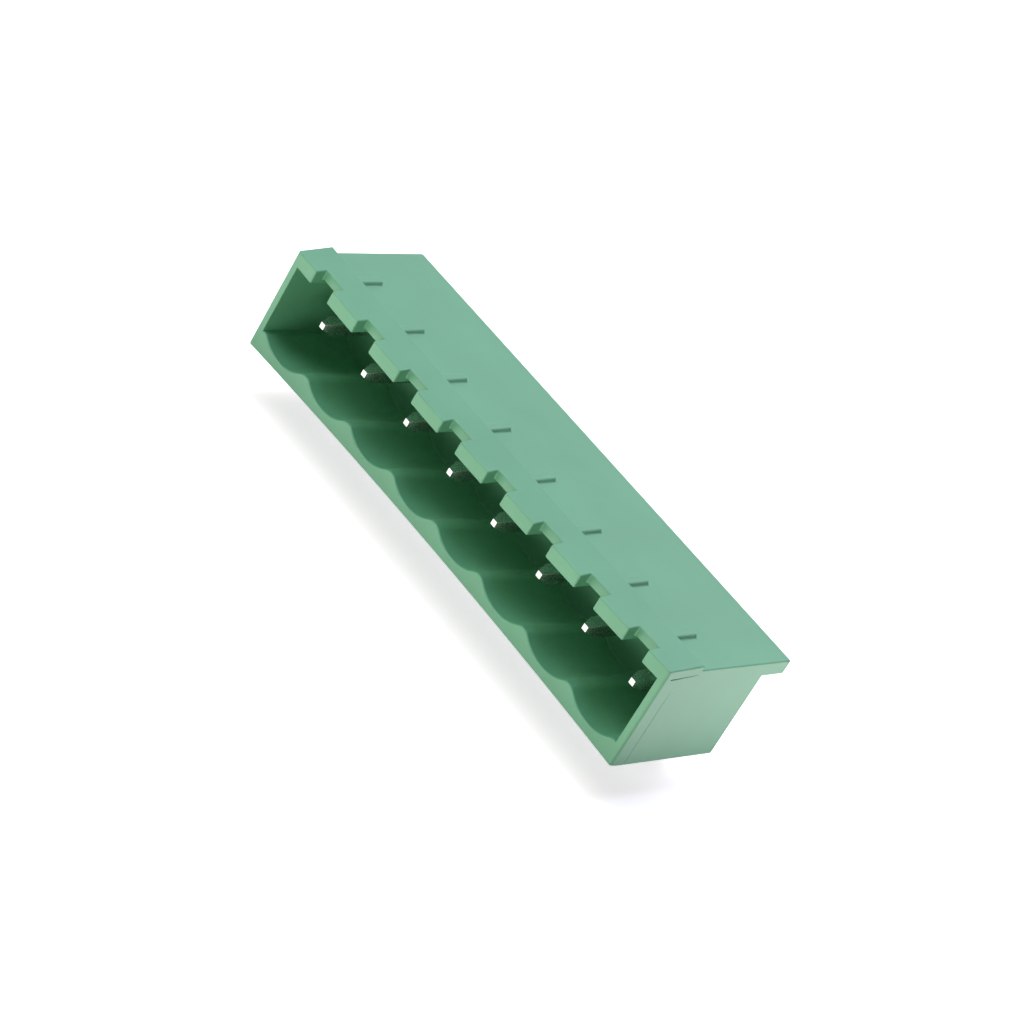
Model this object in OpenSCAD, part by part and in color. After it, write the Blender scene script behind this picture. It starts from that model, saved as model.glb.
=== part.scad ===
// Right-angle board header of a pluggable terminal block.
// One moulded shroud, open at the front, holds a row of square bent contacts.
// X runs along the row, the mouth faces -Y, +Z points up from the board.
// The origin is the centre of the face that sits on the board. All sizes are in millimetres.

/* [Contact row] */
// Number of contacts
pin_count = 8; // [2:1:12]
// Distance from one contact to the next
pitch = 5.08; // [5.00:0.01:5.30]
// Side of the square contact wire
pin_size = 1.0; // [0.8:0.05:1.2]
// Height of the contacts' axis above the board
pin_axis_z = 4.05; // [3.90:0.05:4.20]
// Distance from the mouth back to the contacts' tips
tip_setback = 2.1; // [1.5:0.1:4.0]
// Distance from the mouth back to the row of solder tails
row_setback = 10.0; // [9.6:0.1:11.0]
// Length of the solder tails below the board face
tail_length = 3.3; // [2.5:0.1:5.0]
// Inside radius of the contacts' bend
bend_radius = 0.4; // [0.3:0.1:0.8]
// Length of the taper at both ends of a contact
taper_length = 0.7; // [0.4:0.1:1.2]
// Side of the square flat at both ends of a contact
tip_size = 0.5; // [0.3:0.05:0.7]

/* [Shroud] */
// Distance from the outermost contacts' axis to the outside of the end walls
end_margin = 3.22; // [3.10:0.01:3.60]
// Depth of the shroud on the board, from the mouth to the rear of the end walls
body_depth = 9.9; // [9.0:0.1:11.0]
// Depth of the roof, from the mouth to its rear edge
roof_depth = 12.0; // [11.6:0.1:14.0]
// Height of the roof above the board
roof_height = 7.85; // [7.60:0.05:8.40]
// Thickness of the roof where it overhangs the tails
roof_thickness = 1.15; // [0.80:0.05:1.40]
// Thickness of the roof over the cavity
ceiling_wall = 0.9; // [0.70:0.05:1.20]
// Thickness of the two end walls
end_wall = 0.6; // [0.40:0.05:0.80]
// Thickness of the rear wall that holds the contacts
rear_wall = 1.3; // [1.0:0.1:2.0]
// Thickness of the floor under each contact, at its thinnest
floor_thickness = 0.7; // [0.50:0.05:1.00]
// Width of the flat ridges between the floor's hollows
ridge_width = 0.7; // [0.4:0.1:1.2]
// Radius of the upright corners beside the mouth
corner_radius = 0.3; // [0.10:0.05:0.45]

/* [Latch lip] */
// Depth of the ramped lip, from the mouth back to its step
lip_depth = 3.05; // [2.60:0.05:4.00]
// Height of the lip above the roof at the mouth
lip_front_rise = 0.15; // [0.05:0.05:0.30]
// Height of the lip above the roof at its step
lip_rear_rise = 0.45; // [0.35:0.05:0.80]
// How far the lip's ends stand out from the end walls
lip_end_relief = 0.08; // [0.04:0.01:0.20]
// Height of the lip's ends
lip_end_height = 0.75; // [0.50:0.05:0.95]
// Distance from the mouth back to the start of the lip's ends
lip_end_start = 0.45; // [0.30:0.05:1.00]

/* [Keying] */
// Width of the notch in front of each contact, and of the key groove behind it
notch_width = 2.0; // [1.6:0.1:2.6]
// Depth of the notches, from the mouth
notch_depth = 0.95; // [0.60:0.05:1.40]
// Height of the key grooves in the ceiling
groove_height = 0.4; // [0.25:0.05:0.55]
// Width of the ribs on the roof over the key grooves
rib_width = 0.75; // [0.5:0.05:1.2]
// Length of the ribs behind the lip, and of the grooves behind the lip
rib_length = 2.05; // [1.5:0.05:3.0]
// Height of the ribs above the roof
rib_height = 0.3; // [0.15:0.05:0.35]

/* [Fits] */
// Clearance on each side of a contact in its hole
pin_clearance = 0.01; // [0.005:0.005:0.03]
// Straight stretch of a contact between the rear wall and its bend
bend_gap = 0.1; // [0.05:0.05:0.40]

/* [Hidden] */
$fn = 96;

// Extra length of a cut past the face that it opens through
through = 1;

row_length = (pin_count - 1) * pitch;
body_width = row_length + 2 * end_margin;
mouth_y = -body_depth / 2;
cavity_width = body_width - 2 * end_wall;
bend_y = row_setback - pin_size / 2 - bend_radius;
bend_z = pin_axis_z - pin_size / 2 - bend_radius;
rear_face = bend_y - bend_gap;
cavity_depth = rear_face - rear_wall;
overhang_z = roof_height - roof_thickness;
ceiling_z = roof_height - ceiling_wall;
hole_size = pin_size + 2 * pin_clearance;
groove_depth = lip_depth + rib_length;

// The floor's hollows are round about the contacts' axes, as the plug's chambers are.
hollow_radius = pin_axis_z - floor_thickness;
hollow_half_width = (pitch - ridge_width) / 2;
ridge_height = pin_axis_z - sqrt(pow(hollow_radius, 2) - pow(hollow_half_width, 2));

// X place of contact i, counted from 1 at the -X end
function pin_x(i) = (i - 1) * pitch - row_length / 2;

// Height of the lip's top above the board, at a depth y behind the mouth
function lip_top(y) =
    roof_height + lip_front_rise + (lip_rear_rise - lip_front_rise) * y / lip_depth;

// A block that runs the whole way along X, centred, from depth y0 to y1 and height z0 to z1
module slab(width, y0, y1, z0, z1) {
    translate([-width / 2, y0, z0]) cube([width, y1 - y0, z1 - z0]);
}

// A bar along X whose section is drawn as [depth, height] points
module profile_bar(width, points) {
    rotate([90, 0, 90]) linear_extrude(width, center = true) polygon(points);
}

// Repeats its children at every contact
module at_each_pin() {
    for (i = [1:pin_count]) translate([pin_x(i), 0, 0]) children();
}

// The walls before they are hollowed: a box on the board and a roof that overhangs it
module shell_block() {
    slab(body_width, 0, body_depth, 0, roof_height);
    slab(body_width, 0, roof_depth, overhang_z, roof_height);
}

// The ramp that the plug's latch rides up, with a step behind it to catch on
module latch_lip() {
    profile_bar(body_width, [
        [0, ceiling_z],
        [lip_depth, ceiling_z],
        [lip_depth, lip_top(lip_depth)],
        [0, lip_top(0)]
    ]);
    profile_bar(body_width + 2 * lip_end_relief, [
        [lip_end_start, lip_top(lip_end_start) - lip_end_height],
        [lip_depth, lip_top(lip_depth) - lip_end_height],
        [lip_depth, lip_top(lip_depth)],
        [lip_end_start, lip_top(lip_end_start)]
    ]);
}

// The short ribs that back the key grooves, on the roof behind the lip
module roof_ribs() {
    at_each_pin() slab(rib_width, lip_depth, groove_depth, overhang_z, roof_height + rib_height);
}

// What the rounding takes off the two upright corners beside the mouth
module corner_rounding() {
    for (side = [-1, 1])
        translate([side * (body_width / 2 - corner_radius), corner_radius, -through])
            difference() {
                translate([side > 0 ? 0 : -2 * corner_radius, -2 * corner_radius, 0])
                    cube([2 * corner_radius, 2 * corner_radius, roof_height + 2 * through]);
                cylinder(h = roof_height + 2 * through, r = corner_radius);
            }
}

// The space that the plug enters, down to the tops of the floor's ridges
module cavity() {
    slab(cavity_width, -through, cavity_depth, ridge_height, ceiling_z);
}

// The round hollows between the ridges, one under each contact
module floor_hollows() {
    intersection() {
        at_each_pin()
            translate([0, cavity_depth, pin_axis_z])
                rotate([90, 0, 0]) cylinder(h = cavity_depth + through, r = hollow_radius);
        slab(cavity_width, -through, cavity_depth, 0, ceiling_z);
    }
}

// The notches in the front of the roof and the key grooves that lead back from them
module keyways() {
    at_each_pin() {
        slab(notch_width, -through, notch_depth, ridge_height, roof_height + through);
        slab(notch_width, -through, groove_depth, ridge_height, ceiling_z + groove_height);
    }
}

// The recess behind the rear wall, where the legs come down between the end walls
module leg_recess() {
    slab(cavity_width, rear_face, roof_depth + through, -through, overhang_z);
}

// The square holes that grip the contacts
module pin_holes() {
    at_each_pin()
        slab(hole_size, cavity_depth - through, rear_face + through,
             pin_axis_z - hole_size / 2, pin_axis_z + hole_size / 2);
}

module housing() {
    color("mediumseagreen")
        translate([0, mouth_y, 0])
            difference() {
                union() {
                    shell_block();
                    latch_lip();
                    roof_ribs();
                }
                cavity();
                floor_hollows();
                keyways();
                leg_recess();
                pin_holes();
                corner_rounding();
            }
}

// A square wire from the origin up +Z whose far end tapers on all four sides
module tapered_wire(length) {
    half = pin_size / 2;
    side = [
        [-half, 0], [half, 0], [half, length - taper_length],
        [tip_size / 2, length], [-tip_size / 2, length], [-half, length - taper_length]
    ];
    intersection() {
        rotate([90, 0, 0]) linear_extrude(pin_size, center = true) polygon(side);
        rotate([90, 0, 90]) linear_extrude(pin_size, center = true) polygon(side);
    }
}

// One contact: a tip in the cavity, a bend behind the rear wall and a solder tail
module pin(i) {
    color("gainsboro")
        translate([pin_x(i), mouth_y, 0]) {
            translate([0, bend_y, pin_axis_z])
                rotate([90, 0, 0]) tapered_wire(bend_y - tip_setback);
            translate([0, bend_y, bend_z])
                rotate([90, 0, 90])
                    rotate_extrude(angle = 90)
                        translate([bend_radius, -pin_size / 2]) square(pin_size);
            translate([0, row_setback, bend_z])
                rotate([180, 0, 0]) tapered_wire(bend_z + tail_length);
        }
}

housing();
for (i = [1:pin_count])
    pin(i);
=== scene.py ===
"""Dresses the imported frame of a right-angle terminal block header: shroud, contacts and studio."""

import math

import bmesh
import bpy
from mathutils import Matrix, Quaternion, Vector


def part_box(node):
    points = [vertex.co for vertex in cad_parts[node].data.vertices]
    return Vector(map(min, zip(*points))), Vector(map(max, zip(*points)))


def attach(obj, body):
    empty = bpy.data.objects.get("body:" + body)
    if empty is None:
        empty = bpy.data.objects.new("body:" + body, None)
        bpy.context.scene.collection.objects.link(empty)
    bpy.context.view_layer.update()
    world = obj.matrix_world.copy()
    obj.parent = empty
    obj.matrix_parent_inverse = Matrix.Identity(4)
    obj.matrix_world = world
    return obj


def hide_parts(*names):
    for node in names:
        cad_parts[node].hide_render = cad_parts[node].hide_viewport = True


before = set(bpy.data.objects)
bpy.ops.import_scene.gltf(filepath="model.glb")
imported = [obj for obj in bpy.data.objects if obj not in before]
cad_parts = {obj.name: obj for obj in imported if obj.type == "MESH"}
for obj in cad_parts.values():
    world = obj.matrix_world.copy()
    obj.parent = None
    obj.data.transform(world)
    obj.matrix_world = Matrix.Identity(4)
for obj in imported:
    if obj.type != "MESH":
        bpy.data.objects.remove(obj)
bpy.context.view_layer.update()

bl_info = {
    "name": "Terminal Block Header",
    "version": (1, 0, 0),
    "blender": (4, 5, 0),
    "location": "3D View > Sidebar > Header",
    "description": "Builds a moulded header shroud with its row of bent contacts",
    "category": "Object",
}

MM = 0.001
PAST = 1.0 * MM  # how far a cut runs past the face that it opens through
NOISE_LOW, NOISE_HIGH = 0.3, 0.7  # nearly all of a noise's values lie between these
WHITE = [1.0, 1.0, 1.0, 1.0]

shroud_low, shroud_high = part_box("housing")
pin_boxes = [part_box(name) for name in sorted(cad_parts) if name.startswith("pin_")]
first_low, first_high = pin_boxes[0]
second_low, second_high = pin_boxes[1]


def linear(hex_colour):
    """A Blender colour, linear, from an sRGB hex value."""
    values = [int(hex_colour[i : i + 2], 16) / 255 for i in (1, 3, 5)]
    return [v / 12.92 if v <= 0.04045 else ((v + 0.055) / 1.055) ** 2.4 for v in values]


def rgba(tone, gain=1.0):
    """A colour setting as a socket takes it, made lighter or darker by a gain."""
    return [min(1.0, c * gain) for c in tone] + [1.0]


def length(name, description, default):
    """A property that holds a length in metres."""
    return bpy.props.FloatProperty(
        name=name, description=description, default=default, unit="LENGTH",
        precision=5, min=0.0,
    )


def colour(name, description, hex_colour):
    """A colour property whose default is an sRGB hex value."""
    return bpy.props.FloatVectorProperty(
        name=name, description=description, default=linear(hex_colour),
        subtype="COLOR", size=3, min=0.0, max=1.0,
    )


class HEADER_PG_row(bpy.types.PropertyGroup):
    """Sizes of the row of contacts."""

    count: bpy.props.IntProperty(
        name="Contacts", description="Number of contacts", default=len(pin_boxes), min=2,
    )
    pitch: length("Pitch", "Distance between contacts", second_low.x - first_low.x)
    wire: length("Wire", "Side of the square wire", first_high.x - first_low.x)
    axis_height: length("Axis height", "Height of the contacts above the board",
                        first_high.z - (first_high.x - first_low.x) / 2)
    bend_radius: length("Bend radius", "Inside radius of the bend", 0.4 * MM)
    taper: length("Taper", "Length of the tapered ends", 0.7 * MM)
    tip: length("Tip", "Side of the flat at both ends", 0.42 * MM)
    wire_corner: length("Wire corner", "Radius along the wire's four edges", 0.07 * MM)


class HEADER_PG_shroud(bpy.types.PropertyGroup):
    """Sizes of the moulded shroud."""

    roof_height: length("Roof height", "Height of the roof above the board", 7.85 * MM)
    roof_thickness: length("Overhang", "Thickness of the roof's overhang", 1.15 * MM)
    ceiling_wall: length("Ceiling wall", "Thickness of the roof over the cavity", 0.9 * MM)
    body_depth: length("Body depth", "Depth of the end walls", 9.9 * MM)
    end_wall: length("End wall", "Thickness of the end walls", 0.6 * MM)
    cavity_depth: length("Cavity depth", "Depth from the mouth to the rear wall", 7.7 * MM)
    rear_wall: length("Rear wall", "Thickness of the rear wall", 1.3 * MM)
    floor: length("Floor", "Thinnest part of the floor", 0.7 * MM)
    ridge: length("Ridge", "Width of the flats between the floor's hollows", 0.7 * MM)
    lip_depth: length("Lip depth", "Depth of the latch lip", 3.05 * MM)
    lip_front_rise: length("Lip front", "Height of the lip at the mouth", 0.15 * MM)
    lip_rear_rise: length("Lip rear", "Height of the lip at its step", 0.45 * MM)
    lip_relief: length("Lip relief", "How far the lip's ends stand out", 0.08 * MM)
    lip_end_height: length("Lip end height", "Height of the lip's ends", 0.75 * MM)
    lip_end_start: length("Lip end start", "Start of the lip's ends", 0.45 * MM)
    notch_width: length("Notch width", "Width of notches and key grooves", 2.0 * MM)
    notch_depth: length("Notch depth", "Depth of the notches", 0.95 * MM)
    groove_height: length("Groove height", "Height of the key grooves", 0.4 * MM)
    rib_width: length("Rib width", "Width of the roof ribs", 0.75 * MM)
    rib_length: length("Rib length", "Length of the roof ribs", 2.15 * MM)
    rib_height: length("Rib height", "Height of the roof ribs", 0.3 * MM)
    seam_depth: length("Seam depth", "Mouth to the fine seam on the end walls", 1.22 * MM)
    seam_width: length("Seam width", "Width of the seam", 0.09 * MM)
    seam_cut: length("Seam cut", "How far the seam sinks into the wall", 0.015 * MM)
    seam_top: length("Seam top", "Height of the seam's upper end", 6.2 * MM)
    gap_height: length("Gap height", "Height of the fine gap under the lip's ends", 0.1 * MM)
    gap_cut: length("Gap cut", "How far the gap sinks into the wall", 0.06 * MM)
    hole_clearance: length("Hole clearance", "Gap around a contact in its hole", 0.01 * MM)
    corner: length("Upright corner", "Radius beside the mouth", 0.2 * MM)
    outer_edge: length("Edge", "Radius of the moulded edges", 0.12 * MM)
    ridge_edge: length("Ridge edge", "Radius along the floor's ridges", 0.8 * MM)
    rib_edge: length("Rib edge", "Radius along the roof ribs", 0.2 * MM)
    inner_edge: length("Hole edge", "Radius of the edges of the contacts' holes", 0.03 * MM)
    floor_bow: length("Floor bow", "How far the floor's front edge bows up", 0.45 * MM)
    roof_bow: length("Roof bow", "How far the roof's front edge bows down", 0.376 * MM)


class HEADER_PG_finish(bpy.types.PropertyGroup):
    """Colours of the finishes."""

    plastic: colour("Plastic", "Colour of the moulded plastic", "#65A781")
    plating: colour("Plating", "Colour of the tin plate", "#CCCCCA")
    studio: colour("Studio", "Colour the table reflects onto the object", "#BCBCBA")


# ---------------------------------------------------------------- node helpers


def add(tree, kind, sockets=None, **settings):
    """Adds a node with its settings. A socket takes a value, a node, an output or a tuple of them."""
    made = tree.nodes.new(kind)
    for key, value in settings.items():
        setattr(made, key, value)
    for key, value in (sockets or {}).items():
        if isinstance(key, str):
            named = [s for s in made.inputs if key in (s.name, s.identifier)]
            target = next((s for s in named if s.enabled), named[0])
        else:
            target = made.inputs[key]
        for source in value if isinstance(value, tuple) else (value,):
            if isinstance(source, bpy.types.Node):
                source = next(s for s in source.outputs if s.enabled)
            if isinstance(source, bpy.types.NodeSocket):
                tree.links.new(source, target)
            else:
                target.default_value = source
    return made


def new_tree(name, inputs):
    """A geometry node tree with named inputs, and its group input node."""
    tree = bpy.data.node_groups.new(name, "GeometryNodeTree")
    tree.interface.new_socket("Geometry", in_out="OUTPUT", socket_type="NodeSocketGeometry")
    tree.interface.new_socket("Geometry", in_out="INPUT", socket_type="NodeSocketGeometry")
    for label, kind in inputs:
        tree.interface.new_socket(label, in_out="INPUT", socket_type="NodeSocket" + kind)
    return tree, add(tree, "NodeGroupInput")


def finish_tree(tree, geometry, material):
    """Ends a tree with real geometry that carries its material."""
    real = add(tree, "GeometryNodeRealizeInstances", {"Geometry": geometry})
    dressed = add(tree, "GeometryNodeSetMaterial", {"Geometry": real, "Material": material})
    add(tree, "NodeGroupOutput", {"Geometry": dressed})


def settle(source, name):
    """A plain mesh of an object with its modifiers applied."""
    bpy.context.view_layer.update()
    evaluated = source.evaluated_get(bpy.context.evaluated_depsgraph_get())
    result = bpy.data.meshes.new_from_object(evaluated)
    result.name = name
    return result


def grow(name, mesh, tree, values):
    """Runs a tree on a mesh and returns the result as a plain mesh."""
    scratch = bpy.data.objects.new(name + "_scratch", mesh)
    bpy.context.collection.objects.link(scratch)
    modifier = scratch.modifiers.new(name, "NODES")
    modifier.node_group = tree
    for item in tree.interface.items_tree:
        if item.item_type == "SOCKET" and item.in_out == "INPUT" and item.name in values:
            modifier[item.identifier] = values[item.name]
    result = settle(scratch, name)
    bpy.data.objects.remove(scratch)
    result.materials.clear()
    result.materials.append(values["Material"])
    for face in result.polygons:
        face.material_index = 0
    return result


def row_values(row):
    """The tree inputs that repeat a mesh at each contact."""
    return {
        "Contacts": row.count,
        "First Contact": Vector((-(row.count - 1) * row.pitch / 2, 0.0, 0.0)),
        "Pitch": Vector((row.pitch, 0.0, 0.0)),
    }


def place(name, mesh, slot, *nodes):
    """Makes a finished mesh a piece of the object that stands for CAD nodes."""
    piece = bpy.data.objects.new(name, mesh)
    bpy.context.collection.objects.link(piece)
    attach(piece, "root")
    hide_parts(*nodes)
    return piece


# ------------------------------------------------------------------- materials


def new_material(name):
    """An empty node material with its principled shader."""
    material = bpy.data.materials.new(name)
    material.use_nodes = True
    tree = material.node_tree
    tree.nodes.clear()
    shader = add(tree, "ShaderNodeBsdfPrincipled")
    add(tree, "ShaderNodeOutputMaterial", {"Surface": shader})
    return material, tree, shader


def moulded_pbt(finish):
    """Injection-moulded PBT: an even green with a satin skin.

    The tool's eroded steel leaves a fine grain that breaks up the highlights, and the melt's flow
    leaves faint lighter and darker drifts.
    """
    material, tree, shader = new_material("moulded_pbt")
    grain_size = 0.12 * MM  # real grain is near 0.03 mm, drawn coarser so that it shows
    drift_size = 6.0 * MM
    place_on = add(tree, "ShaderNodeTexCoord").outputs["Object"]
    drift = add(tree, "ShaderNodeTexNoise", {
        "Vector": place_on, "Scale": 1 / drift_size, "Detail": 3.0, "Roughness": 0.5,
    })
    ramp = add(tree, "ShaderNodeValToRGB", {"Fac": drift.outputs["Fac"]})
    dark, light = ramp.color_ramp.elements
    dark.position, light.position = NOISE_LOW, NOISE_HIGH
    dark.color = rgba(finish.plastic, 0.95)
    light.color = rgba(finish.plastic, 1.05)
    ramp.color_ramp.elements.new(0.5).color = rgba(finish.plastic)
    grain = add(tree, "ShaderNodeTexNoise", {
        "Vector": place_on, "Scale": 1 / grain_size, "Detail": 2.0, "Roughness": 0.6,
    })
    rough = add(tree, "ShaderNodeMapRange", {
        "Value": grain.outputs["Fac"], "From Min": NOISE_LOW, "From Max": NOISE_HIGH,
        "To Min": 0.36, "To Max": 0.46,
    })
    bump = add(tree, "ShaderNodeBump", {
        "Height": grain.outputs["Fac"], "Strength": 0.12, "Distance": 0.02 * MM,
    })
    tree.links.new(ramp.outputs["Color"], shader.inputs["Base Color"])
    tree.links.new(rough.outputs["Result"], shader.inputs["Roughness"])
    tree.links.new(bump.outputs["Normal"], shader.inputs["Normal"])
    shader.inputs["IOR"].default_value = 1.55
    return material


def tin_plate(finish):
    """Bright tin plate on drawn brass wire: a soft white metal whose gloss is a little uneven."""
    material, tree, shader = new_material("tin_plated_brass")
    mottle_size = 0.08 * MM  # the plate's own crystals are finer, drawn coarser so that they show
    place_on = add(tree, "ShaderNodeTexCoord").outputs["Object"]
    mottle = add(tree, "ShaderNodeTexNoise", {
        "Vector": place_on, "Scale": 1 / mottle_size, "Detail": 2.0, "Roughness": 0.5,
    })
    rough = add(tree, "ShaderNodeMapRange", {
        "Value": mottle.outputs["Fac"], "From Min": NOISE_LOW, "From Max": NOISE_HIGH,
        "To Min": 0.24, "To Max": 0.30,
    })
    bump = add(tree, "ShaderNodeBump", {
        "Height": mottle.outputs["Fac"], "Strength": 0.02, "Distance": 0.01 * MM,
    })
    tree.links.new(rough.outputs["Result"], shader.inputs["Roughness"])
    tree.links.new(bump.outputs["Normal"], shader.inputs["Normal"])
    shader.inputs["Base Color"].default_value = rgba(finish.plating)
    shader.inputs["Metallic"].default_value = 1.0
    return material


def background_rays(tree):
    """1 for rays that show the background: from the camera, or off metal or through glass."""
    path = add(tree, "ShaderNodeLightPath")
    seen = add(tree, "ShaderNodeMath", {
        0: path.outputs["Is Camera Ray"], 1: path.outputs["Is Glossy Ray"],
    }, operation="MAXIMUM")
    return add(tree, "ShaderNodeMath", {
        0: seen, 1: path.outputs["Is Transmission Ray"],
    }, operation="MAXIMUM")


def matt_card(finish):
    """Matt white card: an even ground that holds a soft shadow and shows no grain.

    Its glow grows with distance, so that it melts into the white background. The object gets less
    of it, so that neither the light off the card nor its mirror image in the metal is too strong.
    """
    material, tree, shader = new_material("matt_card")
    near, far = 80 * MM, 400 * MM
    glow_near, glow_far, glow_mirrored = 0.72, 1.0, 0.4
    seen = add(tree, "ShaderNodeLightPath").outputs["Is Camera Ray"]
    card = add(tree, "ShaderNodeMix", {
        "Factor": seen, "A": rgba(finish.studio), "B": WHITE,
    }, data_type="RGBA")
    place_on = add(tree, "ShaderNodeTexCoord").outputs["Object"]
    away = add(tree, "ShaderNodeVectorMath", {0: place_on}, operation="LENGTH")
    white = add(tree, "ShaderNodeMapRange", {
        "Value": away.outputs["Value"], "From Min": near, "From Max": far,
        "To Min": glow_near, "To Max": glow_far,
    })
    mirrored = add(tree, "ShaderNodeMath", {
        0: background_rays(tree), 1: glow_mirrored,
    }, operation="MULTIPLY")
    glow = add(tree, "ShaderNodeMix", {
        "Factor": seen, "A": mirrored, "B": white,
    }, data_type="FLOAT")
    tree.links.new(card.outputs[2], shader.inputs["Base Color"])
    tree.links.new(glow.outputs[0], shader.inputs["Emission Strength"])
    shader.inputs["Emission Color"].default_value = rgba(linear("#FFF9FD"))
    shader.inputs["Roughness"].default_value = 0.9
    shader.inputs["Specular IOR Level"].default_value = 0.0
    return material


# --------------------------------------------------------------------- shroud


def block_values(name, low, high):
    """A tree's two inputs for a block between two corners, in metres."""
    low, high = Vector(low), Vector(high)
    size = Vector([abs(c) for c in high - low])
    return {name + " Size": size, name + " Centre": (low + high) / 2}


# The blocks that the shroud's tree takes a size and a centre for
SINGLE_CUTS = ("Overhang", "Leg Recess", "Left Seam", "Right Seam")
SLOPED_CUTS = ("Left Gap", "Right Gap")
REPEATED_CUTS = ("Notch", "Key Groove", "Pin Hole")
# Straight steps in the cavity's outline, over one hollow and down one side of a ridge
HOLLOW_FACETS = 16
RIDGE_FACETS = 6
# Limits for the mesh's clean-up and its bevels, with lengths in millimetres
SAME_PLACE = 1e-3
TOUCHING = 0.01
FLAT_ANGLE = math.radians(0.5)
SHARP_ANGLE = math.radians(20)
IN_LINE = 0.9  # cosine past which two ways count as one


def shroud_tree():
    """The tree that adds the ribs to the shroud's walls, then carves the cavity and all cuts."""
    blocks = SINGLE_CUTS + SLOPED_CUTS + REPEATED_CUTS + ("Rib",)
    inputs = [("Contacts", "Int"), ("First Contact", "Vector"), ("Pitch", "Vector")]
    for block in blocks:
        inputs += [(block + " Size", "Vector"), (block + " Centre", "Vector")]
    inputs += [
        ("Lip Slope", "Vector"), ("Cavity Section", "Object"), ("Cavity Front", "Vector"),
        ("Cavity Back", "Vector"), ("Material", "Material"),
    ]
    tree, given = new_tree("Shroud", inputs)
    socket = given.outputs
    row = add(tree, "GeometryNodeMeshLine", {
        "Count": socket["Contacts"], "Start Location": socket["First Contact"],
        "Offset": socket["Pitch"],
    })

    def block(name):
        """A block at its own place, laid along the lip's slope where it follows it."""
        cube = add(tree, "GeometryNodeMeshCube", {"Size": socket[name + " Size"]})
        moved = add(tree, "GeometryNodeTransform", {
            "Geometry": cube, "Translation": socket[name + " Centre"],
        })
        if name in SLOPED_CUTS:
            tree.links.new(socket["Lip Slope"], moved.inputs["Rotation"])
        return moved

    def at_each_contact(mesh):
        """Copies of a mesh at every contact."""
        spread = add(tree, "GeometryNodeInstanceOnPoints", {"Points": row, "Instance": mesh})
        return add(tree, "GeometryNodeRealizeInstances", {"Geometry": spread})

    drawn = add(tree, "GeometryNodeObjectInfo", {"Object": socket["Cavity Section"]})
    section = add(tree, "GeometryNodeMeshToCurve", {"Mesh": drawn.outputs["Geometry"]})
    run = add(tree, "GeometryNodeCurvePrimitiveLine", {
        "Start": socket["Cavity Back"], "End": socket["Cavity Front"],
    })
    cavity = add(tree, "GeometryNodeCurveToMesh", {
        "Curve": run, "Profile Curve": section, "Fill Caps": True,
    })
    cavity = add(tree, "GeometryNodeTransform", {
        "Geometry": cavity, "Rotation": [math.radians(90), 0.0, 0.0],
    })
    walls = add(tree, "GeometryNodeMeshBoolean", {
        "Mesh 2": (socket["Geometry"], at_each_contact(block("Rib"))),
        "Self Intersection": True,
    }, operation="UNION", solver="EXACT")
    cuts = [block(name) for name in SINGLE_CUTS + SLOPED_CUTS]
    cuts += [at_each_contact(block(name)) for name in REPEATED_CUTS]
    cuts.append(cavity)
    carved = add(tree, "GeometryNodeMeshBoolean", {
        "Mesh 1": walls, "Mesh 2": tuple(cuts), "Self Intersection": True,
    }, operation="DIFFERENCE", solver="EXACT")
    finish_tree(tree, carved, socket["Material"])
    return tree


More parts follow.
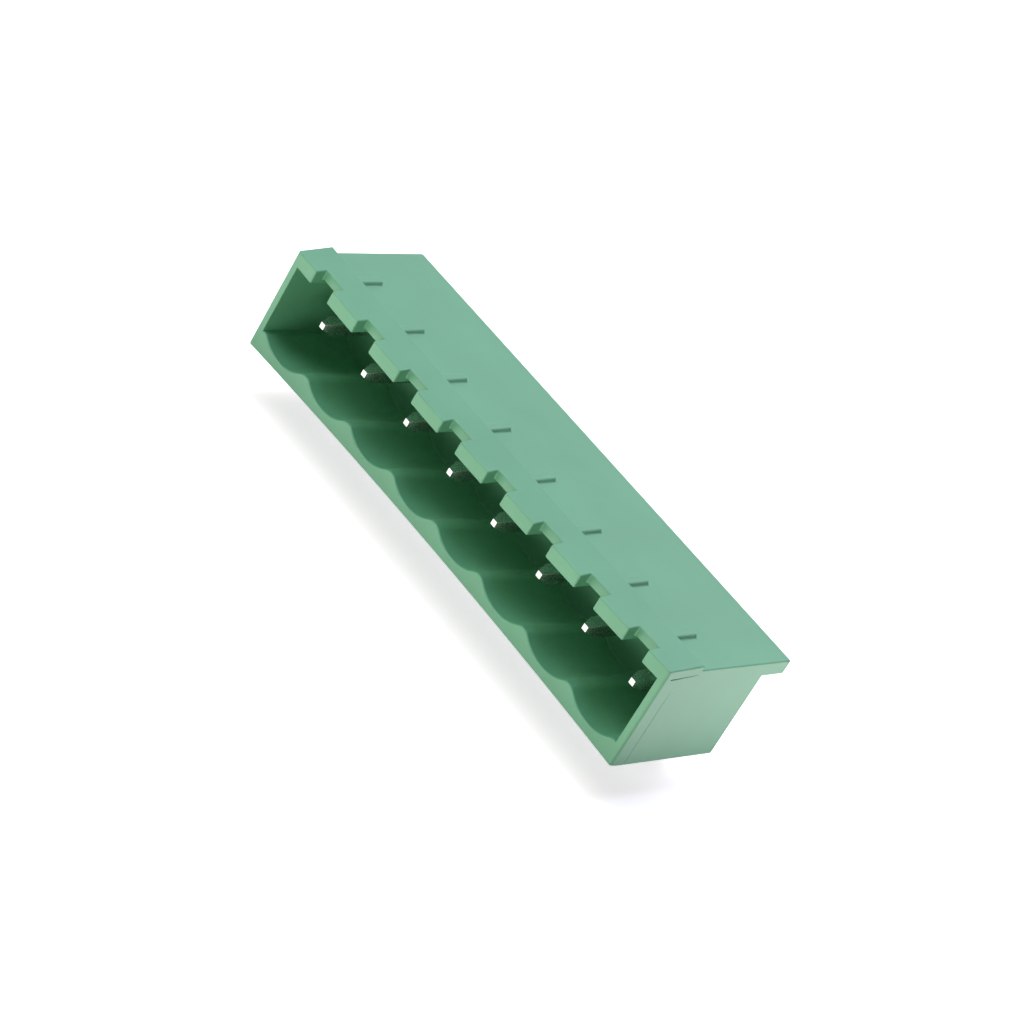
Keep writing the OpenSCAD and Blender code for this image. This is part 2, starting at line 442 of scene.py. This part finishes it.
class HEADER_OT_shroud(bpy.types.Operator):
    """Builds the moulded shroud, with its bow and rounded edges"""

    bl_idname = "header.shroud"
    bl_label = "Build Shroud"

    def execute(self, context):
        sizes = context.scene.header_shroud
        row = context.scene.header_row
        values = self.tree_values(sizes, row)
        values["Material"] = moulded_pbt(context.scene.header_finish)
        carved = grow("shroud", self.walls(sizes), shroud_tree(), values)
        bpy.data.objects.remove(values["Cavity Section"])
        place("shroud", self.mould(carved, sizes, row), "housing_plastic", "housing")
        return {"FINISHED"}

    @staticmethod
    def half_width(sizes):
        """Half the width over the end walls, which the lip's ends stand out from."""
        return shroud_high.x - sizes.lip_relief

    @staticmethod
    def lip_top(sizes, depth):
        """Height of the lip's ramp at a depth behind the mouth."""
        rise = (sizes.lip_rear_rise - sizes.lip_front_rise) * depth / sizes.lip_depth
        return sizes.roof_height + sizes.lip_front_rise + rise

    @staticmethod
    def ridge_top(sizes, row):
        """Height of the ridges between the floor's hollows."""
        radius = row.axis_height - sizes.floor
        half_hollow = (row.pitch - sizes.ridge) / 2
        return row.axis_height - math.sqrt(radius**2 - half_hollow**2)

    def cavity_section(self, sizes, row):
        """The outline the cavity is cut with: flat above, and a round hollow under each contact."""
        radius = row.axis_height - sizes.floor
        ease = sizes.ridge_edge
        ridge_top = self.ridge_top(sizes, row)
        drop = row.axis_height - ridge_top + ease
        reach = math.sqrt((radius + ease) ** 2 - drop**2)
        angle = math.asin(reach / (radius + ease))
        fall = []
        for i in range(RIDGE_FACETS):
            turn = angle * i / RIDGE_FACETS
            fall.append((ease * math.sin(turn) - reach, ridge_top - ease + ease * math.cos(turn)))
        arc = []
        for i in range(HOLLOW_FACETS + 1):
            turn = 2 * angle * i / HOLLOW_FACETS - angle
            arc.append((radius * math.sin(turn), row.axis_height - radius * math.cos(turn)))
        hollow = fall + arc + [(-x, z) for x, z in reversed(fall)]
        inside = self.half_width(sizes) - sizes.end_wall
        ceiling = sizes.roof_height - sizes.ceiling_wall
        points = [(-inside, ridge_top)]
        for i in range(row.count):
            centre = (i - (row.count - 1) / 2) * row.pitch
            points += [(centre + x, z) for x, z in hollow]
        points += [(inside, ridge_top), (inside, ceiling), (-inside, ceiling)]
        mesh = bpy.data.meshes.new("cavity_section")
        edges = [(i, (i + 1) % len(points)) for i in range(len(points))]
        mesh.from_pydata([(x, z, 0.0) for x, z in points], edges, [])
        section = bpy.data.objects.new("cavity_section", mesh)
        bpy.context.collection.objects.link(section)
        return section

    def walls(self, sizes):
        """The outside of the shroud before it is hollowed: a block with the lip and its ends."""
        mouth, rear = shroud_low.y, shroud_high.y
        back = mouth + sizes.lip_depth
        start = mouth + sizes.lip_end_start
        start_top = self.lip_top(sizes, sizes.lip_end_start)
        back_top = self.lip_top(sizes, sizes.lip_depth)
        fall = sizes.lip_end_height
        half = self.half_width(sizes)
        corners = {
            "front_low": (half, mouth, 0.0),
            "front_top": (half, mouth, self.lip_top(sizes, 0.0)),
            "rear_low": (half, rear, 0.0),
            "rear_top": (half, rear, sizes.roof_height),
            "step": (half, back, sizes.roof_height),
            "side_top": (half, start, start_top),
            "side_low": (half, start, start_top - fall),
            "side_back": (half, back, back_top - fall),
            "end_low": (shroud_high.x, back, back_top - fall),
            "end_top": (shroud_high.x, back, back_top),
        }
        bm = bmesh.new()
        left = {name: bm.verts.new((-x, y, z)) for name, (x, y, z) in corners.items()}
        right = {name: bm.verts.new(corner) for name, corner in corners.items()}
        for end in (
            ("front_low", "rear_low", "rear_top", "step", "side_back", "side_low", "side_top",
             "front_top"),
            ("side_low", "end_low", "end_top", "side_top"),
            ("side_low", "side_back", "end_low"),
        ):
            bm.faces.new([right[name] for name in end])
            bm.faces.new([left[name] for name in reversed(end)])
        for band in (
            ("front_low", "front_top"),
            ("front_top", "side_top", "end_top"),
            ("end_top", "end_low", "side_back", "step"),
            ("step", "rear_top"),
            ("rear_top", "rear_low"),
            ("rear_low", "front_low"),
        ):
            across = [left[name] for name in reversed(band)] + [right[name] for name in band]
            bm.faces.new(across)
        mesh = bpy.data.meshes.new("walls")
        bm.to_mesh(mesh)
        bm.free()
        return mesh

    def tree_values(self, sizes, row):
        """The shroud tree's inputs, worked out from the settings."""
        mouth = shroud_low.y
        side = self.half_width(sizes)
        inside = side - sizes.end_wall
        ceiling = sizes.roof_height - sizes.ceiling_wall
        half_notch = sizes.notch_width / 2
        half_hole = row.wire / 2 + sizes.hole_clearance
        cavity_back = mouth + sizes.cavity_depth
        wall_back = cavity_back + sizes.rear_wall
        groove_back = mouth + sizes.lip_depth + sizes.rib_length
        under = sizes.roof_height - sizes.roof_thickness
        cut_low = self.ridge_top(sizes, row) + PAST
        rib_root = ceiling + 1.5 * sizes.groove_height  # inside the roof, clear of the grooves
        slope = math.atan((sizes.lip_rear_rise - sizes.lip_front_rise) / sizes.lip_depth)
        values = row_values(row) | {
            "Lip Slope": Vector((slope, 0.0, 0.0)),
            "Cavity Section": self.cavity_section(sizes, row),
            "Cavity Back": Vector((0.0, 0.0, -cavity_back)),
            "Cavity Front": Vector((0.0, 0.0, PAST - mouth)),
        }
        values |= block_values("Overhang", (-2 * side, mouth + sizes.body_depth, -PAST),
                               (2 * side, shroud_high.y + PAST, under))
        values |= block_values("Leg Recess", (-inside, wall_back, -PAST),
                               (inside, shroud_high.y + PAST, under))
        for end, sign in (("Left", -1), ("Right", 1)):
            seam = mouth + sizes.seam_depth
            values |= block_values(end + " Seam", (sign * (side - sizes.seam_cut), seam, -PAST),
                                   (sign * (side + PAST), seam + sizes.seam_width,
                                    sizes.seam_top))
            values |= self.gap_values(sizes, end + " Gap", sign)
        values |= block_values("Notch", (-half_notch, mouth - PAST, cut_low),
                               (half_notch, mouth + sizes.notch_depth, shroud_high.z + PAST))
        values |= block_values("Key Groove", (-half_notch, mouth - PAST, cut_low),
                               (half_notch, groove_back, ceiling + sizes.groove_height))
        values |= block_values("Pin Hole",
                               (-half_hole, cavity_back - PAST, row.axis_height - half_hole),
                               (half_hole, wall_back + PAST, row.axis_height + half_hole))
        values |= block_values("Rib",
                               (-sizes.rib_width / 2, mouth + sizes.lip_depth - PAST, rib_root),
                               (sizes.rib_width / 2, groove_back,
                                sizes.roof_height + sizes.rib_height))
        return values

    def gap_values(self, sizes, name, sign):
        """The fine gap under a lip's end, which follows the lip's slope."""
        setback = 0.1 * MM  # behind the start of the lip's end, so that its point stays whole
        overlap = 0.02 * MM  # up into the lip's end, so that no sliver is left between them
        front, back = sizes.lip_end_start + setback, sizes.lip_depth
        middle = (front + back) / 2
        top = self.lip_top(sizes, middle) - sizes.lip_end_height + overlap
        outside = self.half_width(sizes) - sizes.gap_cut + PAST / 2
        return {
            name + " Size": Vector((PAST, back - front, sizes.gap_height)),
            name + " Centre": Vector((sign * outside, shroud_low.y + middle,
                                      top - sizes.gap_height / 2)),
        }

    def mould(self, mesh, sizes, row):
        """Cleans the carved mesh, bows its long walls and rounds its edges, all in millimetres."""
        mesh.transform(Matrix.Scale(1 / MM, 4))
        bm = bmesh.new()
        bm.from_mesh(mesh)
        self.clean(bm, row)
        self.round_uprights(bm, sizes)
        self.bow(bm, sizes)
        self.weigh_edges(bm, sizes, row)
        for face in bm.faces:
            face.smooth = True
        bm.to_mesh(mesh)
        bm.free()
        scratch = bpy.data.objects.new("shroud_scratch", mesh)
        bpy.context.collection.objects.link(scratch)
        bevel = scratch.modifiers.new("Edges", "BEVEL")
        bevel.limit_method = "WEIGHT"
        bevel.width = sizes.outer_edge / MM
        bevel.segments = 3
        bevel.use_clamp_overlap = False
        weigh = scratch.modifiers.new("Shading", "WEIGHTED_NORMAL")
        weigh.keep_sharp = True
        result = settle(scratch, "shroud")
        bpy.data.objects.remove(scratch)
        result.transform(Matrix.Scale(MM, 4))
        return result

    @staticmethod
    def clean(bm, row):
        """Leaves only true edges, and cuts across the row that let the walls bow.

        The cuts run through the holes, so that no face is left with a hole inside it.
        """
        bmesh.ops.remove_doubles(bm, verts=bm.verts, dist=SAME_PLACE)
        bmesh.ops.dissolve_degenerate(bm, edges=bm.edges, dist=SAME_PLACE)
        for k in range(-row.count, row.count + 1):
            cut = bmesh.ops.bisect_plane(
                bm, geom=bm.verts[:] + bm.edges[:] + bm.faces[:],
                dist=SAME_PLACE / 10,
                plane_co=(k * row.pitch / MM / 2, 0.0, 0.0), plane_no=(1.0, 0.0, 0.0),
            )
            for part in cut["geom_cut"]:
                if isinstance(part, bmesh.types.BMEdge):
                    part.seam = True
        bmesh.ops.dissolve_limit(bm, angle_limit=FLAT_ANGLE, verts=bm.verts,
                                 edges=bm.edges, delimit={"SEAM"})

    def round_uprights(self, bm, sizes):
        """Rounds the two upright corners beside the mouth."""
        mouth = shroud_low.y / MM
        side = self.half_width(sizes) / MM
        uprights = []
        for edge in bm.edges:
            a, b = (v.co for v in edge.verts)
            at_mouth = abs(a.y - mouth) < SAME_PLACE and abs(b.y - mouth) < SAME_PLACE
            at_side = abs(abs(a.x) - side) < SAME_PLACE and abs(a.x - b.x) < SAME_PLACE
            if at_mouth and at_side:
                uprights.append(edge)
        bmesh.ops.bevel(bm, geom=uprights, offset=sizes.corner / MM, segments=6,
                        profile=0.5, affect="EDGES")

    @staticmethod
    def bow(bm, sizes):
        """Bows the long walls inwards at the mouth, as a moulding does when it cools."""
        half = shroud_high.x / MM
        mouth = shroud_low.y / MM
        deep = sizes.cavity_depth / MM
        middle = sizes.roof_height / MM / 2
        for vert in bm.verts:
            along = max(0.0, 1 - (vert.co.x / half) ** 2)
            near = max(0.0, 1 - (vert.co.y - mouth) / deep)
            reach = -sizes.roof_bow if vert.co.z > middle else sizes.floor_bow
            vert.co.z += reach / MM * along * near

    @staticmethod
    def edge_radius(edge, sizes, row):
        """The radius that suits an edge's place in millimetres, or none where it stays sharp."""
        outer, inner = sizes.outer_edge / MM, sizes.inner_edge / MM
        lip_back = (shroud_low.y + sizes.lip_depth) / MM
        cavity_back = (shroud_low.y + sizes.cavity_depth) / MM
        axis = row.axis_height / MM
        hole_reach = 0.6 * row.wire / MM  # from the axis to a little past a hole's edges
        clear = 0.1  # far enough past a face to leave out the face's own edges
        way = (edge.verts[1].co - edge.verts[0].co).normalized()
        centre = (edge.verts[1].co + edge.verts[0].co) / 2
        if edge.is_convex:
            on_rib = centre.z > sizes.roof_height / MM + clear and centre.y > lip_back + clear
            if on_rib:
                return sizes.rib_edge / MM if abs(way.y) > IN_LINE else outer
        else:
            rib_foot = edge.calc_length() < 1.1 * sizes.rib_width / MM
            if rib_foot and abs(centre.y - lip_back) < TOUCHING:
                return None
            if abs(centre.y - cavity_back) < TOUCHING:
                return inner
        at_hole = all(abs(v.co.z - axis) < hole_reach and v.co.y > lip_back for v in edge.verts)
        return inner if at_hole else outer

    def weigh_edges(self, bm, sizes, row):
        """Gives each sharp edge its share of the bevel, narrower where there is little room."""
        layer = bm.edges.layers.float.new("bevel_weight_edge")
        rib = sizes.rib_edge / MM
        sharp = {e for e in bm.edges if e.is_manifold and e.calc_face_angle() > SHARP_ANGLE}
        for edge in sharp:
            want = self.edge_radius(edge, sizes, row)
            if want is None:
                edge.smooth = False
                continue
            room = 0.7 if want == rib else 0.45  # share of a side edge's length it may take
            way = (edge.verts[1].co - edge.verts[0].co).normalized()
            for vert in edge.verts:
                for other in vert.link_edges:
                    if other is edge or other not in sharp:
                        continue
                    turn = (other.other_vert(vert).co - vert.co).normalized().dot(way)
                    if abs(turn) < IN_LINE:
                        want = min(want, room * other.calc_length())
            edge[layer] = want * MM / sizes.outer_edge


# ------------------------------------------------------------------- contacts


def contact_tree():
    """The tree that sweeps a square wire along one bent path and repeats it along the row."""
    inputs = [
        ("Contacts", "Int"), ("First Contact", "Vector"), ("Pitch", "Vector"),
        ("Wire Size", "Float"), ("Wire Corner", "Float"), ("Bend Radius", "Float"),
        ("Tip Scale", "Float"), ("Material", "Material"),
    ]
    tree, given = new_tree("Contacts", inputs)
    socket = given.outputs
    path = add(tree, "GeometryNodeMeshToCurve", {"Mesh": socket["Geometry"]})
    even = add(tree, "GeometryNodeSetCurveRadius", {"Curve": path, "Radius": 1.0})
    ends = add(tree, "GeometryNodeCurveEndpointSelection", {"Start Size": 1, "End Size": 1})
    tapered = add(tree, "GeometryNodeSetCurveRadius", {
        "Curve": even, "Selection": ends, "Radius": socket["Tip Scale"],
    })
    bent = add(tree, "GeometryNodeFilletCurve", {
        "Curve": tapered, "Radius": socket["Bend Radius"], "Count": 10, "Limit Radius": True,
    }, mode="POLY")
    square = add(tree, "GeometryNodeCurvePrimitiveQuadrilateral", {
        "Width": socket["Wire Size"], "Height": socket["Wire Size"],
    })
    eased = add(tree, "GeometryNodeFilletCurve", {
        "Curve": square, "Radius": socket["Wire Corner"], "Count": 3, "Limit Radius": True,
    }, mode="POLY")
    wire = add(tree, "GeometryNodeCurveToMesh", {
        "Curve": bent, "Profile Curve": eased, "Scale": add(tree, "GeometryNodeInputRadius"),
        "Fill Caps": True,
    })
    closed = add(tree, "GeometryNodeMergeByDistance", {"Geometry": wire, "Distance": 1e-6})
    row = add(tree, "GeometryNodeMeshLine", {
        "Count": socket["Contacts"], "Start Location": socket["First Contact"],
        "Offset": socket["Pitch"],
    })
    spread = add(tree, "GeometryNodeInstanceOnPoints", {"Points": row, "Instance": closed})
    finish_tree(tree, spread, socket["Material"])
    return tree


class HEADER_OT_contacts(bpy.types.Operator):
    """Builds the row of bent square contacts"""

    bl_idname = "header.contacts"
    bl_label = "Build Contacts"

    def execute(self, context):
        row = context.scene.header_row
        values = {
            "Wire Size": row.wire,
            "Wire Corner": row.wire_corner,
            "Bend Radius": row.bend_radius + row.wire / 2,
            "Tip Scale": row.tip / row.wire,
            "Material": tin_plate(context.scene.header_finish),
        } | row_values(row)
        mesh = grow("contacts", self.path(row), contact_tree(), values)
        nodes = [f"pin_{i + 1}" for i in range(row.count)]
        place("contacts", mesh, "contact_metal", *nodes)
        return {"FINISHED"}

    @staticmethod
    def path(row):
        """The wire's centre line: tip, end of its taper, bend, start of the tail's taper, tail."""
        tip_y, tail_z = first_low.y, first_low.z
        leg_y = first_high.y - row.wire / 2
        height = row.axis_height
        points = [
            (0, tip_y, height), (0, tip_y + row.taper, height), (0, leg_y, height),
            (0, leg_y, tail_z + row.taper), (0, leg_y, tail_z),
        ]
        mesh = bpy.data.meshes.new("contact_path")
        mesh.from_pydata(points, [(i, i + 1) for i in range(len(points) - 1)], [])
        return mesh


# ---------------------------------------------------------------------- stage


class HEADER_OT_stage(bpy.types.Operator):
    """Sets the floor, the lamps and the camera"""

    bl_idname = "header.stage"
    bl_label = "Build Stage"

    def execute(self, context):
        self.floor(context)
        self.world(context)
        self.lamps(context)
        self.camera(context)
        context.scene.view_settings.view_transform = "Standard"
        return {"FINISHED"}

    @staticmethod
    def floor(context):
        """A table under the tails' ends, white to the camera wherever no shadow falls."""
        half = 3.0  # metres, so that the edge lies outside every view
        height = first_low.z
        mesh = bpy.data.meshes.new("floor")
        corners = [(-half, -half), (half, -half), (half, half), (-half, half)]
        mesh.from_pydata([(x, y, height) for x, y in corners], [], [(0, 1, 2, 3)])
        floor = bpy.data.objects.new("floor", mesh)
        context.collection.objects.link(floor)
        mesh.materials.append(matt_card(context.scene.header_finish))

    @staticmethod
    def world(context):
        """White to the camera and in reflections, dimmer as a light."""
        world = bpy.data.worlds.new("studio")
        world.use_nodes = True
        tree = world.node_tree
        tree.nodes.clear()
        strength = add(tree, "ShaderNodeMapRange", {
            "Value": background_rays(tree), "To Min": 0.03, "To Max": 1.0,
        })
        back = add(tree, "ShaderNodeBackground", {
            "Color": WHITE, "Strength": strength,
        })
        add(tree, "ShaderNodeOutputWorld", {"Surface": back})
        context.scene.world = world

    @staticmethod
    def lamps(context):
        """Softboxes above, in front and behind, and two light panels that lie on the table."""
        table = first_low.z + 0.1 * MM
        for name, place_at, aim, size, power, tint in (
            ("key", (-0.06, 0.04, 0.50), (0, 0, 0), (0.36, 0.36), 2.05, "#E0E6FF"),
            ("front_key", (-0.26, -0.23, 0.44), (0, 0, 0), (0.28, 0.28), 0.95, "#FFFFF4"),
            ("rim", (-0.06, 0.34, 0.34), (0, 0, 0), (0.30, 0.20), 0.36, "#F0F2FF"),
            ("side_panel", (0.1125, 0.10, table), (0.1125, 0.10, 1), (0.175, 0.20), 0.21,
             "#FFFAFC"),
            ("front_panel", (-0.02, -0.055, table), (-0.02, -0.055, 1), (0.40, 0.09), 0.18,
             "#FFFEEE"),
        ):
            lamp = bpy.data.lights.new(name, "AREA")
            lamp.shape = "RECTANGLE"
            lamp.size, lamp.size_y = size
            lamp.energy = power
            lamp.color = linear(tint)
            holder = bpy.data.objects.new(name, lamp)
            holder.location = place_at
            toward = Vector(aim) - Vector(place_at)
            holder.rotation_euler = toward.to_track_quat("-Z", "Y").to_euler()
            holder.visible_camera = False
            context.collection.objects.link(holder)

    @staticmethod
    def camera(context):
        """A long lens from the front, right and above, rolled about its line of sight."""
        location = Vector((123.479, -180.066, 119.186)) * MM
        aim = Vector((0.703, 1.010, 3.194)) * MM
        roll = math.radians(31.174)
        data = bpy.data.cameras.new("camera")
        data.lens = 132.046
        data.sensor_width = 36.0
        data.clip_start = 0.01
        data.clip_end = 20.0
        camera = bpy.data.objects.new("camera", data)
        turn = (aim - location).to_track_quat("-Z", "Y") @ Quaternion((0, 0, 1), roll)
        camera.location = location
        camera.rotation_euler = turn.to_euler()
        context.collection.objects.link(camera)
        context.scene.camera = camera


class HEADER_PT_panel(bpy.types.Panel):
    """Lists the header's settings and its build steps."""

    bl_label = "Terminal Block Header"
    bl_idname = "HEADER_PT_panel"
    bl_space_type = "VIEW_3D"
    bl_region_type = "UI"
    bl_category = "Header"

    def draw(self, context):
        layout = self.layout
        for group, operator in (
            (context.scene.header_shroud, HEADER_OT_shroud),
            (context.scene.header_row, HEADER_OT_contacts),
            (context.scene.header_finish, HEADER_OT_stage),
        ):
            box = layout.box()
            for name in group.bl_rna.properties.keys():
                if name not in ("rna_type", "name"):
                    box.prop(group, name)
            box.operator(operator.bl_idname)


CLASSES = (
    HEADER_PG_row, HEADER_PG_shroud, HEADER_PG_finish,
    HEADER_OT_shroud, HEADER_OT_contacts, HEADER_OT_stage, HEADER_PT_panel,
)


def register():
    """Adds the classes and the scene's settings."""
    for cls in CLASSES:
        bpy.utils.register_class(cls)
    bpy.types.Scene.header_row = bpy.props.PointerProperty(type=HEADER_PG_row)
    bpy.types.Scene.header_shroud = bpy.props.PointerProperty(type=HEADER_PG_shroud)
    bpy.types.Scene.header_finish = bpy.props.PointerProperty(type=HEADER_PG_finish)


def unregister():
    """Takes the scene's settings and the classes away again."""
    del bpy.types.Scene.header_row
    del bpy.types.Scene.header_shroud
    del bpy.types.Scene.header_finish
    for cls in reversed(CLASSES):
        bpy.utils.unregister_class(cls)


def main():
    """Builds every piece and the stage."""
    register()
    bpy.ops.header.shroud()
    bpy.ops.header.contacts()
    bpy.ops.header.stage()


if __name__ == "__main__":
    main()
